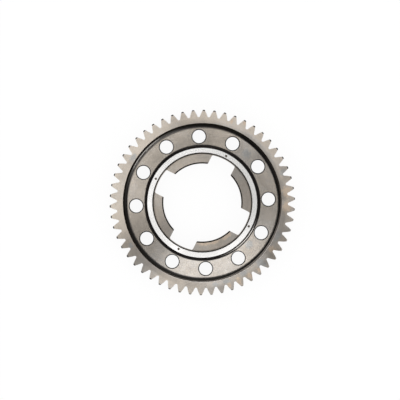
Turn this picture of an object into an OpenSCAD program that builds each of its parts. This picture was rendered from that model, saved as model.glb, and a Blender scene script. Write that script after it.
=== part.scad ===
// Spur gear with a lugged bore, cut and turned from one piece of steel.
// It lies flat on the back of its hub ring, with its axis on Z and its slots along X and Y.

/* [Teeth] */
// Number of teeth
teeth = 54; // [52:1:66]
// Module, the pitch diameter divided by the number of teeth
tooth_module = 1.5; // [1.45:0.05:1.8]
// Pressure angle of the involute flanks, in degrees
pressure_angle = 25; // [20:0.5:27]
// Height of a tooth above the pitch circle, in modules
addendum = 1; // [0.8:0.05:1]
// Depth of a tooth space below the pitch circle, in modules
dedendum = 1.2; // [1.15:0.05:1.3]
// Radius where a flank runs into the root
root_fillet = 0.5; // [0.2:0.05:0.55]
// Thinning of each tooth along the pitch circle, for running clearance
tooth_thinning = 0.06; // [0:0.01:0.15]
// Chamfer turned on both ends of the tooth tips
tip_chamfer = 0.5; // [0.1:0.1:1]
// Turn of the tooth row from the centre line of a slot, in degrees
tooth_turn = -0.5; // [-3:0.1:3]

/* [Rim and web] */
// Width of the toothed rim
rim_w = 9; // [6:0.5:11]
// Steel between the tooth roots and the inside of the rim
rim_wall = 2.7; // [1.5:0.1:4]
// Radius where the rim meets the web
rim_fillet = 2; // [0.5:0.1:2.2]
// Thickness of the web between hub and rim
web_w = 4.5; // [2.5:0.5:5.5]

/* [Web holes] */
// Number of holes through the web
hole_count = 12; // [3:1:18]
// Diameter of each hole
hole_d = 6; // [3:0.5:7]
// Diameter of the circle through the hole centres
hole_pcd = 60; // [58:0.5:62]
// Chamfer on both ends of each hole
hole_chamfer = 0.4; // [0.1:0.1:0.8]

/* [Hub ring] */
// Width of the hub between its two ground ring faces
hub_w = 11; // [9:0.5:16]
// Outer diameter of the hub ring
hub_d = 50; // [48:0.5:52]
// Inner diameter of the hub ring, which is also that of the slot floors
ring_d = 44; // [41:0.5:45]
// Chamfer on the inner edge of each ring face
ring_chamfer = 0.7; // [0.1:0.1:1]
// Radius where the hub meets the web
hub_fillet = 1.5; // [0.5:0.1:2]

/* [Lugs and slots] */
// Width of the lugs, which stand back from both ring faces
lug_w = 6; // [3:0.5:7.5]
// Diameter across the inner faces of the lugs
lug_bore_d = 35.4; // [32:0.1:38]
// Chamfer on the inner edges of the lugs
lug_chamfer = 0.6; // [0.1:0.1:1]
// Number of slots between the lugs
slot_count = 4; // [2:1:5]
// Width of each slot, between its parallel walls
slot_w = 11.6; // [6:0.1:14]
// Radius in the corners of each slot floor
slot_corner = 0.8; // [0.3:0.1:1.5]
// Radius on the inner corners of the lugs
lug_corner = 0.5; // [0.2:0.1:1]

/* [Dimples] */
// Diameter of the punch dimple in the ring face over each slot
dimple_d = 1.1; // [0.6:0.1:1.8]
// Distance from the outside of the hub to a dimple's centre
dimple_inset = 1.4; // [1:0.1:1.8]
// Point angle of the punch, in degrees
punch_angle = 90; // [60:5:120]

/* [Hidden] */
$fn = 96;
pitch_r = teeth * tooth_module / 2;
base_r = pitch_r * cos(pressure_angle);
tip_r = pitch_r + addendum * tooth_module;
root_r = pitch_r - dedendum * tooth_module;
rim_r = root_r - rim_wall;
hub_r = hub_d / 2;
ring_r = ring_d / 2;
lug_bore_r = lug_bore_d / 2;
// how far a cutting shape runs past the surface that it cuts
over = 0.2;
// straight pieces in each involute flank and in each root radius
flank_steps = 4;
fillet_steps = 3;
// half the angle of a tooth space at the pitch circle
half_space = 90 / teeth + tooth_thinning / pitch_r * 90 / PI;

// A point given by its radius and its angle
function polar(r, a) = [r * cos(a), r * sin(a)];

// Involute function of a pressure angle, in degrees
function involute(a) = tan(a) * 180 / PI - a;

// Length of the string that unwinds from the base circle to reach radius r
function string_to(r) = sqrt(pow(r, 2) - pow(base_r, 2));

// Point of the flank above the X axis, which the space has as its centre line, for a string of length u
function flank_angle(u) = half_space + involute(atan(u / base_r)) - involute(pressure_angle);
function flank(u) = polar(norm([base_r, u]), flank_angle(u));

// The root radius touches the root circle and, at this string length, the flank
fillet_u = string_to(root_r + root_fillet) - root_fillet;
flank_normal = flank_angle(fillet_u) - 90 + atan(fillet_u / base_r);
fillet_centre = flank(fillet_u) + polar(root_fillet, flank_normal);
root_normal = atan2(fillet_centre[1], fillet_centre[0]);

// One side of a tooth space, from its root out past the tips
space_side = [
    for (i = [0 : fillet_steps - 1])
        let (a = root_normal + (flank_normal - root_normal) * i / fillet_steps)
        fillet_centre - polar(root_fillet, a),
    for (i = [0 : flank_steps])
        flank(fillet_u + (string_to(tip_r + over) - fillet_u) * i / flank_steps),
];

// The space between two teeth, on the X axis
module tooth_space_2d() {
    other_side = [for (i = [len(space_side) - 1 : -1 : 0]) [space_side[i][0], -space_side[i][1]]];
    polygon(concat(space_side, other_side));
}

module tooth_spaces() {
    for (t = [0 : teeth - 1]) rotate(tooth_turn + (t + 0.5) * 360 / teeth)
        translate([0, 0, -rim_w]) linear_extrude(2 * rim_w) tooth_space_2d();
}

// Steel that a round-nosed tool of radius f leaves in the corner of two walls
module corner_2d(f) {
    difference() {
        square(f);
        translate([f, f]) circle(f);
    }
}

// Triangle that cuts a chamfer c off a corner at the origin, whose steel lies to the left and below
module chamfer_2d(c) {
    polygon([[-c - over, over], [over, over], [over, -c - over]]);
}

// Half of the section that is turned away on one face, with its height measured from the mid plane
module face_cut_2d() {
    // in front of the rim
    translate([hub_r, rim_w / 2]) square([tip_r, hub_w]);
    translate([tip_r, rim_w / 2]) chamfer_2d(tip_chamfer);
    // the recess down to the web
    difference() {
        translate([hub_r, web_w / 2]) square([rim_r - hub_r, hub_w]);
        translate([hub_r, web_w / 2]) corner_2d(hub_fillet);
        translate([rim_r, web_w / 2]) mirror([1, 0]) corner_2d(rim_fillet);
    }
    // inside the ring, in front of the lugs
    translate([0, lug_w / 2]) square([ring_r, hub_w]);
    translate([ring_r, hub_w / 2]) mirror([1, 0]) chamfer_2d(ring_chamfer);
}

// The turned section, from the lug bore to the tooth tips
module section_2d() {
    difference() {
        translate([lug_bore_r, -hub_w / 2]) square([tip_r - lug_bore_r, hub_w]);
        for (side = [0, 1]) mirror([0, side]) {
            face_cut_2d();
            translate([lug_bore_r, lug_w / 2]) mirror([1, 0]) chamfer_2d(lug_chamfer);
        }
    }
}

// One slot from the axis out to its floor on the ring's inner wall, with round floor corners
module slot_2d() {
    corner_y = slot_w / 2 - slot_corner;
    corner_x = sqrt(pow(ring_r - slot_corner, 2) - pow(corner_y, 2));
    translate([0, -slot_w / 2]) square([corner_x, slot_w]);
    intersection() {
        circle(ring_r);
        polygon([[0, 0], 2 * [corner_x, -corner_y], 2 * [corner_x, corner_y]]);
    }
    for (side = [-1, 1]) translate([corner_x, side * corner_y]) circle(slot_corner);
}

// What rounds the corner where a slot wall meets the inner face of a lug
module lug_corner_2d() {
    corner = [sqrt(pow(lug_bore_r, 2) - pow(slot_w / 2, 2)), slot_w / 2];
    centre_y = slot_w / 2 + lug_corner;
    centre_x = sqrt(pow(lug_bore_r + lug_corner, 2) - pow(centre_y, 2));
    centre = [centre_x, centre_y];
    difference() {
        polygon([
            corner - [over, over], [centre_x, slot_w / 2 - over], [centre_x, slot_w / 2], centre,
            centre * lug_bore_r / norm(centre), centre * (lug_bore_r - over) / norm(centre)
        ]);
        translate(centre) circle(lug_corner);
    }
}

module slots() {
    translate([0, 0, -lug_w]) linear_extrude(2 * lug_w)
        for (i = [0 : slot_count - 1]) rotate(i * 360 / slot_count) {
            slot_2d();
            for (side = [0, 1]) mirror([0, side]) lug_corner_2d();
        }
}

// The cut of one web hole and both of its chamfers
module web_hole() {
    hole_r = hole_d / 2;
    top = web_w / 2 + over;
    wide_r = hole_r + hole_chamfer + over;
    straight = web_w / 2 - hole_chamfer;
    rotate_extrude() polygon([
        [0, -top], [wide_r, -top], [hole_r, -straight],
        [hole_r, straight], [wide_r, top], [0, top]
    ]);
}

module dimple() {
    spread = tan(punch_angle / 2);
    depth = dimple_d / 2 / spread;
    translate([0, 0, -depth])
        cylinder(h = depth + over, r1 = 0, r2 = (depth + over) * spread);
}

module gear() {
    color([0.68, 0.65, 0.61]) translate([0, 0, hub_w / 2]) difference() {
        rotate_extrude() section_2d();
        tooth_spaces();
        slots();
        for (i = [0 : hole_count - 1]) rotate(i * 360 / hole_count)
            translate([hole_pcd / 2, 0, 0]) web_hole();
        for (i = [0 : slot_count - 1]) rotate(i * 360 / slot_count)
            translate([hub_r - dimple_inset, 0, hub_w / 2]) dimple();
    }
}

gear();
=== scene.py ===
import math

import bpy
from mathutils import Matrix, Vector

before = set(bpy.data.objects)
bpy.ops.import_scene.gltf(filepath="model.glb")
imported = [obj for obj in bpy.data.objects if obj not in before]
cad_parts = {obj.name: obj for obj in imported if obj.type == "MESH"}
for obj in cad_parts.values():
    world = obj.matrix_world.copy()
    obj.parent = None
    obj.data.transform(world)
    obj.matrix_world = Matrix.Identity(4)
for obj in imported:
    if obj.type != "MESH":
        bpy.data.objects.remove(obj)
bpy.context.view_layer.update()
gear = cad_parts["gear"]
scene = bpy.context.scene

# The photograph's up direction lies this far from +X, anticlockwise
UP = math.radians(27.1)
# Height of the face that the photograph's scale was measured on, and the metres that one pixel covers there
FACE_Z = 0.0105
PIXEL = 0.0004526
# Width and height of the photograph, and where its centre lies from the gear's axis, in pixels
PHOTO_SIZE = 400
CENTRE_RIGHT, CENTRE_UP = -2.33, 2.54
# Millimetres in a metre
MM = 1000


def seen_at(angle, radius, z):
    """The point that the photograph shows at this angle in degrees, anticlockwise from its right."""
    a = math.radians(angle) + UP - math.pi / 2
    return Vector((radius * math.cos(a), radius * math.sin(a), z))


# Camera: straight above the gear, a little off its axis
DISTANCE = 1.6
SENSOR = 36
RIGHT = seen_at(0, 1, 0)
TOP = seen_at(90, 1, 0)
camera_data = bpy.data.cameras.new("camera")
camera_data.sensor_width = SENSOR
camera_data.lens = SENSOR * DISTANCE / (PHOTO_SIZE * PIXEL)
camera = bpy.data.objects.new("camera", camera_data)
scene.collection.objects.link(camera)
camera.matrix_world = Matrix.Translation(
    PIXEL * (CENTRE_RIGHT * RIGHT + CENTRE_UP * TOP) + Vector((0, 0, FACE_Z + DISTANCE))
) @ Matrix((RIGHT, TOP, (0, 0, 1))).transposed().to_4x4()
scene.camera = camera


class Nodes:
    """Adds nodes to a tree, with plain numbers or sockets as their inputs."""

    def __init__(self, tree):
        self.tree = tree

    def put(self, socket, value):
        if isinstance(value, bpy.types.NodeSocket):
            self.tree.links.new(value, socket)
        else:
            socket.default_value = value

    def add(self, kind, inputs=None, **settings):
        node = self.tree.nodes.new(kind)
        for key, value in settings.items():
            setattr(node, key, value)
        for key, value in (inputs or {}).items():
            self.put(node.inputs[key], value)
        return node

    def math(self, operation, *values):
        node = self.add("ShaderNodeMath", operation=operation)
        for socket, value in zip(node.inputs, values):
            self.put(socket, value)
        return node.outputs[0]

    def fold(self, operation, values):
        """Joins any number of values with an operation on two."""
        result = values[0]
        for value in values[1:]:
            result = self.math(operation, result, value)
        return result

    def times(self, *values):
        return self.fold("MULTIPLY", values)

    def total(self, *values):
        return self.fold("ADD", values)

    def highest(self, *values):
        return self.fold("MAXIMUM", values)

    def rest(self, value):
        """What is left of 1."""
        return self.math("SUBTRACT", 1.0, value)

    def vectors(self, operation, *values, output="Vector"):
        node = self.add("ShaderNodeVectorMath", dict(enumerate(values)), operation=operation)
        return node.outputs[output]

    def split(self, vector):
        return self.add("ShaderNodeSeparateXYZ", {0: vector}).outputs

    def point(self, x, y, z):
        return self.add("ShaderNodeCombineXYZ", {0: x, 1: y, 2: z}).outputs[0]

    def ramp(self, value, start, end, low=0.0, high=1.0):
        """Goes smoothly from low to high while value goes from start to end, in either direction."""
        return self.add(
            "ShaderNodeMapRange",
            {"Value": value, "From Min": start, "From Max": end, "To Min": low, "To Max": high},
            interpolation_type="SMOOTHSTEP",
        ).outputs[0]

    def between(self, value, start, end, soft):
        """1 from start to end, fading over the width soft on both sides."""
        return self.times(self.ramp(value, start - soft, start), self.ramp(value, end + soft, end))

    def noise(self, vector, scale, detail=2.0, rough=0.5):
        return self.add(
            "ShaderNodeTexNoise", {"Vector": vector, "Scale": scale, "Detail": detail, "Roughness": rough}
        ).outputs[0]

    def waver(self, noise, amount):
        """Noise turned into a value that goes up and down around 0."""
        return self.times(self.math("SUBTRACT", noise, 0.5), amount)

    def mix(self, factor, a, b, kind="FLOAT", **settings):
        node = self.add("ShaderNodeMix", data_type=kind, **settings)
        sockets = {s.name: s for s in node.inputs if s.enabled}
        self.put(sockets["Factor"], factor)
        self.put(sockets["A"], a)
        self.put(sockets["B"], b)
        return next(s for s in node.outputs if s.enabled)

    def mix_colours(self, factor, a, b, blend="MIX"):
        return self.mix(factor, a, b, "RGBA", blend_type=blend)


def new_material(name):
    material = bpy.data.materials.new(name)
    material.use_nodes = True
    material.node_tree.nodes.clear()
    return material, Nodes(material.node_tree)


# Steel of the gear. All lengths in it are millimetres. Half widths of the gear's parts along the axis:
HUB_HALF = 5.5
RIM_HALF = 4.5
LUG_HALF = 3
WEB_HALF = 2.25
# Half of the distance between a slot's walls
SLOT_HALF = 5.8
# Radii of the ring's inner and outer edge, of the rim's inner wall and of the tips of the teeth
RING_IN = 22
RING_OUT = 25
RIM_IN = 36
TIP = 42
# Heights of the faces that carry stains
RIM_TOP = HUB_HALF + RIM_HALF
LUG_TOP = HUB_HALF + LUG_HALF
WEB_TOP = HUB_HALF + WEB_HALF

steel, n = new_material("gear_steel")
place = n.vectors("MULTIPLY", n.add("ShaderNodeTexCoord").outputs["Object"], (MM, MM, MM))
x, y, z = n.split(place)
radius = n.math("SQRT", n.math("ADD", n.times(x, x), n.times(y, y)))
# height from the plane that halves the gear, and how level a face is: 1 where level and 0 where upright
height = n.math("ABSOLUTE", n.math("SUBTRACT", z, HUB_HALF))
normal = n.add("ShaderNodeNewGeometry").outputs["Normal"]
facing = n.math("ABSOLUTE", n.split(normal)[2])

# zones of the gear, each 1 inside and 0 outside
flat = n.ramp(facing, 0.9, 0.98)
ring = n.times(n.ramp(height, HUB_HALF - 0.2, HUB_HALF - 0.05), flat)
web = n.times(n.between(radius, RING_OUT + 0.5, RIM_IN - 0.5, 0.5),
              n.ramp(height, WEB_HALF + 0.95, WEB_HALF + 0.15))
lug = n.ramp(radius, RING_IN, RING_IN - 0.2)
rim = n.ramp(radius, RIM_IN - 0.1, RIM_IN + 0.1)
teeth = n.ramp(radius, 37.5, 39)
below_teeth = n.rest(teeth)
in_slot = n.math("LESS_THAN", n.math("MINIMUM", n.math("ABSOLUTE", x), n.math("ABSOLUTE", y)), SLOT_HALF)
# the web's part beside the ring, and parts that begin further out and reach the rim
web_inner = n.ramp(radius, 30, 28)
web_outer = n.ramp(radius, 29, 32)
web_rising = n.ramp(radius, 29, 33)
web_edge = n.ramp(radius, 31, 32.5)


def toward(angle):
    """Cosine of the angle between a point's direction from the axis and this angle in the photograph."""
    across = n.vectors("DOT_PRODUCT", place, seen_at(angle, 1, 0), output="Value")
    return n.math("DIVIDE", across, radius)


def lobe(angle, half_width):
    """1 on the side that the photograph shows at this angle, fading to 0 over half_width to each side."""
    return n.ramp(toward(angle), math.cos(math.radians(half_width)), 1.0)


def by_side(*rows):
    """Adds up lobes. A row has a lobe's angle, half width and amount, and any zones that it is kept to."""
    return n.total(*(n.times(lobe(angle, half_width), *zones, amount)
                     for angle, half_width, amount, *zones in rows))


# Painted shade: the chamfers are coloured dark as a painted reflection of a dim room, but less so at some
# tips, at the dimples and along the ring's inner edge, most of all over the slots
slope = n.times(n.ramp(facing, 0.995, 0.96), n.ramp(facing, 0.02, 0.15))
bright_tips = n.times(n.ramp(radius, TIP - 1.5, TIP - 1), lobe(310, 75), 0.75)
bright_dimples = n.times(n.between(radius, 22.9, 24.3, 0.1), 0.75)
bright_chamfer = n.total(
    n.times(n.between(radius, RING_IN - 0.1, RING_IN + 0.35, 0.15), 0.35),
    n.times(in_slot, n.between(radius, RING_IN - 0.1, RING_IN + 0.14, 0.08), 0.5))
slope = n.times(slope, n.rest(n.total(bright_tips, bright_dimples, bright_chamfer)))

# Painted shade too: the corners on both sides of the web are coloured dark, and so is the ring's outer edge.
# How far the painted dark reaches differs from side to side.
outer = n.total(radius, n.times(toward(145), 0.19), by_side((275, 35, 0.10)))
inner = n.total(radius, 0.05, n.times(toward(135), 0.12), by_side((257, 38, -0.13), (82, 45, 0.08)))
inside_rim = n.ramp(radius, RIM_IN + 0.1, RIM_IN)
outer_start = n.total(by_side((345, 42, 0.28)), RIM_IN - 2.5)
outer_corner = n.times(n.ramp(outer, outer_start, RIM_IN - 1.55), inside_rim)
inner_corner = n.times(n.ramp(radius, RING_OUT - 0.1, RING_OUT),
                       n.ramp(inner, RING_OUT + 1.64, RING_OUT + 1.14))
corner = n.times(n.highest(outer_corner, inner_corner), n.ramp(height, RIM_HALF - 0.1, RIM_HALF - 0.5),
                 n.ramp(facing, 0.03, 0.2, 0.2, 1.0))
ring_edge = n.times(
    n.ramp(n.math("SUBTRACT", radius, n.times(toward(250), 0.13)), RING_OUT - 0.25, RING_OUT - 0.1), ring)

# Painted highlight: the rim's inner wall is painted bright on one side, and painted less dark than the corner
# at its foot on the others
wall_place = n.total(radius, by_side((315, 35, 0.15)))
wall_sheen = n.times(lobe(302, 80), n.ramp(wall_place, RIM_IN - 0.7, RIM_IN - 0.4),
                     n.ramp(radius, RIM_IN + 0.2, RIM_IN + 0.1))
thinner_shade = n.times(n.ramp(radius, RIM_IN - 0.8, RIM_IN - 0.4), inside_rim, n.total(0.10, by_side(
    (12, 44, 0.42), (80, 42, 0.15), (222, 38, 0.26), (335, 30, 0.12))))
# all the painted shade, taken off where the wall is painted bright and where the shade is painted thinner
painted_shade = n.times(n.highest(slope, corner, ring_edge), n.rest(wall_sheen), n.rest(thinner_shade))

# Painted glints and sheen in the corners, where their painted shade gives way to bright lines, and where the
# painted shade is deepest
groove = n.between(radius, RIM_IN - 1.6, RIM_IN - 0.7, 0.2)
painted_glints = by_side(
    (138, 34, 1.0, n.between(radius, RIM_IN - 1.6, RIM_IN - 1, 0.35)),
    (316, 30, 3.7, n.between(radius, RING_OUT + 0.6, RING_OUT + 0.8, 0.2)),
    (85, 40, 0.17, n.between(radius, RING_OUT + 0.3, RING_OUT + 1, 0.2)),
    (258, 45, 0.13, groove), (172, 16, 0.15, groove),
)
deeper_shade = n.times(by_side((345, 48, 1.0), (68, 46, 0.85)), n.between(radius, RIM_IN - 1.7, RIM_IN - 1, 0.2))

# Turning marks: lines that run round the axis
turned = n.point(radius, z, n.times(n.noise(place, 0.15), 0.5))
fine = n.noise(turned, 7.0, 3.0, 0.6)
broad = n.noise(turned, 0.9)

# Wide clouds in the finish, and what makes the outlines of the stains ragged
mottle = n.noise(place, 0.22, 4.0, 0.6)
ragged = n.waver(n.noise(place, 0.9, 3.0, 0.6), 1.6)


def stain(angle, pixels, top, long, wide):
    """1 in the middle of a stain, 0 outside: an oval of this length and width that lies along the rim, on the
    face at the height top, placed by its angle and its radius in pixels in the photograph."""
    along = seen_at(angle + 90, 1, 0)
    local = n.add("ShaderNodeMapping", {
        "Vector": place, "Location": seen_at(angle, pixels * PIXEL * MM, top),
        "Rotation": (0, 0, math.atan2(along.y, along.x)), "Scale": (long, wide, 3.0),
    }, vector_type="TEXTURE").outputs[0]
    reach = n.vectors("LENGTH", local, output="Value")
    return n.ramp(n.math("ADD", reach, ragged), 1.0, 0.4)


# angle, radius in pixels, height, length, width
tan = n.total(*(stain(*values) for values in (
    (288, 87, RIM_TOP, 1.3, 2.0), (295, 86.5, RIM_TOP, 1.4, 2.6), (303, 87, RIM_TOP, 1.4, 2.2),
    (310, 88, RIM_TOP, 1.3, 1.8), (326, 84.5, RIM_TOP, 2.0, 2.6), (357, 84.5, RIM_TOP, 3.6, 2.6),
    (7, 85, RIM_TOP, 3.6, 2.8), (62, 90, RIM_TOP, 0.8, 1.4), (70, 86, RIM_TOP, 1.0, 1.4),
    (272, 41.3, LUG_TOP, 4.2, 1.2), (286, 41.2, LUG_TOP, 3.6, 1.2), (306, 41.5, LUG_TOP, 3.0, 1.3),
)))
blue = n.total(*(stain(*values) for values in (
    (147, 82.5, RIM_TOP, 2.6, 1.6), (211, 83.5, RIM_TOP, 1.6, 1.3), (279, 83, RIM_TOP, 1.8, 1.6),
    (287, 82.5, RIM_TOP, 2.2, 1.5), (300.5, 81.5, RIM_TOP, 2.6, 1.7), (314, 84, RIM_TOP, 2.4, 3.6),
    (336, 82.5, RIM_TOP, 3.4, 1.8), (20.5, 87, RIM_TOP, 1.8, 2.8), (318, 62.5, WEB_TOP, 2.6, 2.2),
    (48, 66, WEB_TOP, 3.0, 2.2), (96, 66, WEB_TOP, 1.6, 1.6),
)))


def zoned(on_hub, on_rim, on_web):
    """The value for the zone that a point is in. What the ring has instead is put over it afterwards."""
    return n.mix(web, n.mix(rim, on_hub, on_rim), on_web)


# How bright each zone's finish is, and painted sheen and shade: the sides on which each zone is painted
# brighter or duller, as light falls on it. On faces of the rim that aren't level the sides differ less.
tone = n.mix(ring, zoned(on_hub=0.74, on_rim=0.96, on_web=0.675), 0.90)
rim_sheen = by_side(
    (130, 25, 0.50), (148, 6, -0.18, below_teeth), (160, 15, 0.16), (175, 8, -0.12), (188, 26, 0.46),
    (188, 8, 0.12), (205, 6, -0.14), (222, 20, -0.20), (240, 14, 0.25, teeth), (268, 16, -0.13),
    (280, 10, 0.10, below_teeth), (284, 5, -0.12), (299, 32, 0.09), (300, 32, -0.24, teeth), (310, 7, 0.12),
    (324, 5, -0.14), (338, 36, -0.26), (357, 16, 0.30, teeth), (358.5, 4.5, 0.30, below_teeth),
    (4.5, 3.5, -0.14, below_teeth), (13, 5, -0.14, below_teeth), (20.5, 8, -0.30, teeth),
    (52, 62, 0.48, n.ramp(radius, RIM_IN - 0.2, RIM_IN + 2.3)), (70, 12, 0.16), (108, 25, 0.14, teeth),
)
web_sheen = by_side(
    (308, 37, 0.37), (250, 22, 0.20), (150, 22, -0.14), (92, 16, -0.08),
    (258, 18, 0.10, web_inner), (311, 9, 0.19, web_inner), (98, 28, -0.13, n.ramp(radius, 30, 28.5)),
    (138, 14, 0.09, web_outer), (161, 8, 0.12, web_outer), (20, 14, 0.10, web_outer),
    (38, 7, -0.11, web_outer), (62, 25, 0.18, web_rising), (118, 25, 0.14, web_rising),
    (288, 14, -0.15, web_edge), (326, 9, -0.15, web_edge),
)
lug_sheen = by_side((125, 45, 0.25), (185, 30, 0.25), (270, 40, -0.13))
ring_sheen = by_side((120, 60, 0.06), (155, 14, -0.08), (212, 40, 0.50), (277, 42, -0.28), (299, 15, 0.11),
                     (341, 18, -0.10))
rim_level = n.mix(flat, 0.3, 1.0)
tone = n.times(tone, n.total(1.0, n.times(rim, rim_sheen, rim_level), n.times(web, web_sheen),
                             n.times(lug, lug_sheen), n.times(ring, ring_sheen)))

# Small unevenness of the finish. On upright faces the grain is faint and drawn out along the axis, as the
# cutters left it.
cloud = n.noise(place, 0.4, 4.0, 0.62)
grain = n.noise(n.point(x, y, n.times(z, n.mix(flat, 0.12, 1.0))), 3.2, 2.0, 0.6)
uneven = n.total(1.0, n.waver(cloud, n.mix(flat, 0.24, 0.38)), n.waver(grain, n.mix(flat, 0.32, 0.75)),
                 n.waver(broad, 0.16))
tone = n.times(tone, n.mix(ring, uneven, 1.0))

# Colours of the steel's cool and warm sides, of the stains and of the ground ring; of the painted shade and
# its deepest part, of the painted glints and of the painted highlight on the rim's inner wall; and of the
# metal where it is rubbed bright
COOL = (0.652, 0.611, 0.567, 1)
WARM = (0.69, 0.615, 0.53, 1)
TAN = (0.93, 0.765, 0.605, 1)
BLUE_GREY = (0.575, 0.575, 0.562, 1)
GROUND = (0.93, 0.918, 0.90, 1)
SHADE_DARK = (0.03, 0.028, 0.027, 1)
SHADE_DARKEST = (0.008, 0.0075, 0.007, 1)
GLINT_LIGHT = (0.92, 0.87, 0.81, 1)
WALL_SHEEN_LIGHT = (0.95, 0.90, 0.85, 1)
RUBBED = (0.90, 0.86, 0.81, 1)
# The most that any channel of the metal's colour reaches
BRIGHTEST = 0.98

warm_sides = by_side(
    (135, 85, 0.6), (203, 24, 0.6), (8, 32, 0.45),
    (92, 16, 0.5, rim), (254, 28, 0.5, rim), (300, 12, 0.5, rim),
    (45, 20, 0.8, teeth), (62, 32, 0.5, teeth), (330, 14, 0.8, teeth),
    (72, 18, 0.8, web), (318, 22, 0.3, web), (285, 25, 0.6, lug),
)
warm = n.total(warm_sides, n.times(mottle, 0.6), n.waver(n.noise(place, 0.33, 3.0, 0.6), 1.3),
               n.waver(n.noise(place, 1.3, 2.0, 0.6), 1.6))
colour = n.mix_colours(warm, COOL, WARM)
colour = n.mix_colours(n.times(tan, 0.95), colour, TAN)
colour = n.mix_colours(n.times(blue, 0.8), colour, BLUE_GREY)
colour = n.mix_colours(ring, colour, GROUND)
# the tone stops where the reddest part of the colour would pass full white, which would shift the hue
red = n.add("ShaderNodeSeparateColor", {0: colour}).outputs[0]
tone = n.math("MINIMUM", tone, n.math("DIVIDE", BRIGHTEST, red))
grey = n.add("ShaderNodeCombineColor", {0: tone, 1: tone, 2: tone}).outputs[0]
colour = n.mix_colours(1.0, colour, grey, blend="MULTIPLY")
# painted shade in the chamfers and corners, with painted glints in it
shade_colour = n.mix_colours(n.times(painted_glints, 0.27), n.mix_colours(deeper_shade, SHADE_DARK, SHADE_DARKEST), GLINT_LIGHT)
colour = n.mix_colours(n.times(painted_shade, n.mix(deeper_shade, 0.97, 0.99)), colour, shade_colour)
# painted highlight on one side of the rim's inner wall
colour = n.mix_colours(wall_sheen, colour, WALL_SHEEN_LIGHT)

# Sharp edges, rubbed brighter in places
EDGE_WIDTH = 0.15
rounded = n.add("ShaderNodeBevel", {"Radius": EDGE_WIDTH / MM}, samples=4).outputs[0]
sharp = n.vectors("DOT_PRODUCT", rounded, normal, output="Value")
worn = n.times(n.ramp(sharp, 0.985, 0.88), n.ramp(n.noise(place, 0.7, 3.0, 0.6), 0.38, 0.62, 0.15, 0.75))
colour = n.mix_colours(n.times(worn, n.rest(n.times(painted_shade, 0.8))), colour, RUBBED)

# Roughness: the ring is ground, and smoother on one side, and where shade is painted the roughness is one
# even value
SHADE_ROUGH = 0.15
ring_rough = n.ramp(lobe(209, 38), 0.0, 1.0, 0.185, 0.14)
rough = n.total(zoned(on_hub=0.26, on_rim=0.30, on_web=0.17), n.times(mottle, 0.08), n.times(fine, 0.04))
rough = n.mix(painted_shade, n.mix(ring, rough, ring_rough), SHADE_ROUGH)

# The turning marks stand up this far, and don't show on the ring
MARK_HEIGHT = 0.02
bump = n.add("ShaderNodeBump", {
    "Height": n.math("ADD", fine, n.times(broad, 0.4)), "Strength": n.mix(ring, 0.12, 0.0),
    "Distance": MARK_HEIGHT / MM,
}).outputs[0]
tangent = n.add("ShaderNodeTangent", direction_type="RADIAL", axis="Z").outputs[0]
metal = n.add("ShaderNodeBsdfPrincipled", {
    "Base Color": colour, "Metallic": 1.0, "Roughness": rough, "Normal": bump,
    "Anisotropic": 0.8, "Anisotropic Rotation": 0.25, "Tangent": tangent,
})
n.add("ShaderNodeOutputMaterial", {"Surface": metal.outputs[0]})
gear.data.materials.clear()
gear.data.materials.append(steel)

# Floor: white where it is seen or reflected, with a trace of the gear's shadow. It lies a hair below the
# gear's lowest face, so that the two never share a plane.
WHITE = (1, 1, 1, 1)
PAPER = (0.97, 0.97, 0.97, 1)
FLOOR_HALF = 3.0
FLOOR_Z = -0.00005
# How much of its white is there whatever light falls on it
OWN_WHITE = 0.93
floor_mesh = bpy.data.meshes.new("floor")
floor_corners = [(a * FLOOR_HALF, b * FLOOR_HALF, 0) for a, b in ((-1, -1), (1, -1), (1, 1), (-1, 1))]
floor_mesh.from_pydata(floor_corners, [], [(0, 1, 2, 3)])
floor = bpy.data.objects.new("floor", floor_mesh)
floor.location.z = FLOOR_Z
scene.collection.objects.link(floor)
paper, n = new_material("floor_paper")
path = n.add("ShaderNodeLightPath").outputs
seen = n.highest(path["Is Camera Ray"], path["Is Glossy Ray"], path["Is Transmission Ray"])
diffuse = n.add("ShaderNodeBsdfDiffuse", {"Color": PAPER}).outputs[0]
glow = n.add("ShaderNodeEmission", {"Color": WHITE, "Strength": 1.0}).outputs[0]
surface = n.add("ShaderNodeMixShader", {0: n.times(seen, OWN_WHITE), 1: diffuse, 2: glow}).outputs[0]
n.add("ShaderNodeOutputMaterial", {"Surface": surface})
floor_mesh.materials.append(paper)

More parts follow.
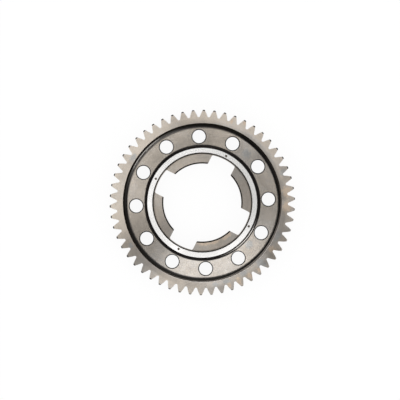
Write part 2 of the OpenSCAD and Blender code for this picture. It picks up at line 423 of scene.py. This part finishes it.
# World: white behind the object, even light on the floor, and a dim room for the metal to reflect, which is
# this bright at its sides and darker overhead
ROOM_SIDES = 0.29
ROOM_OVERHEAD = 0.024
world = bpy.data.worlds.new("studio")
scene.world = world
world.use_nodes = True
world.node_tree.nodes.clear()
n = Nodes(world.node_tree)
path = n.add("ShaderNodeLightPath").outputs
up_part = n.split(n.add("ShaderNodeTexCoord").outputs["Generated"])[2]
room = n.ramp(up_part, 0.82, 0.95, ROOM_SIDES, ROOM_OVERHEAD)
strength = n.mix(path["Is Camera Ray"], n.mix(path["Is Glossy Ray"], 1.0, room), 1.0)
background = n.add("ShaderNodeBackground", {"Color": WHITE, "Strength": strength}).outputs[0]
n.add("ShaderNodeOutputWorld", {"Surface": background})


def softbox(name, angle, lean, distance, wide, deep, radiance):
    """A lamp aimed at the gear, round where wide and deep are the same and otherwise a strip that lies across
    its direction: angle as in the photograph, lean from the vertical, both in degrees."""
    data = bpy.data.lights.new(name, "AREA")
    data.size = wide
    data.size_y = deep
    if wide == deep:
        data.shape = "DISK"
        area = math.pi * (wide / 2) ** 2
    else:
        data.shape = "RECTANGLE"
        area = wide * deep
    data.energy = radiance * math.pi * area
    lamp = bpy.data.objects.new(name, data)
    scene.collection.objects.link(lamp)
    lean = math.radians(lean)
    spot = seen_at(angle, math.sin(lean) * distance, FACE_Z + math.cos(lean) * distance)
    back = (spot - Vector((0, 0, FACE_Z))).normalized()
    across = seen_at(angle + 90, 1, 0)
    turn = Matrix((across, back.cross(across), back)).transposed().to_4x4()
    lamp.matrix_world = Matrix.Translation(spot) @ turn
    lamp.visible_camera = False


# name, angle, lean, distance, width, depth, radiance
for values in (
    ("strip", 319, 50, 0.45, 0.17, 0.09, 2.4),
    ("over", 0, 0, 0.6, 0.12, 0.12, 1.10),
    ("below", 270, 8, 0.6, 0.10, 0.10, 1.03),
    ("below_right", 315, 8, 0.6, 0.10, 0.10, 1.19),
    ("near_below", 265, 22, 0.16, 0.06, 0.06, 1.16),
    ("near_left", 165, 22, 0.16, 0.06, 0.06, 1.22),
    ("above", 110, 16, 0.5, 0.12, 0.12, 0.73),
    ("above_right", 70, 16, 0.5, 0.12, 0.12, 0.68),
    ("right", 30, 16, 0.5, 0.12, 0.12, 0.67),
):
    softbox(*values)

scene.view_settings.view_transform = "Standard"
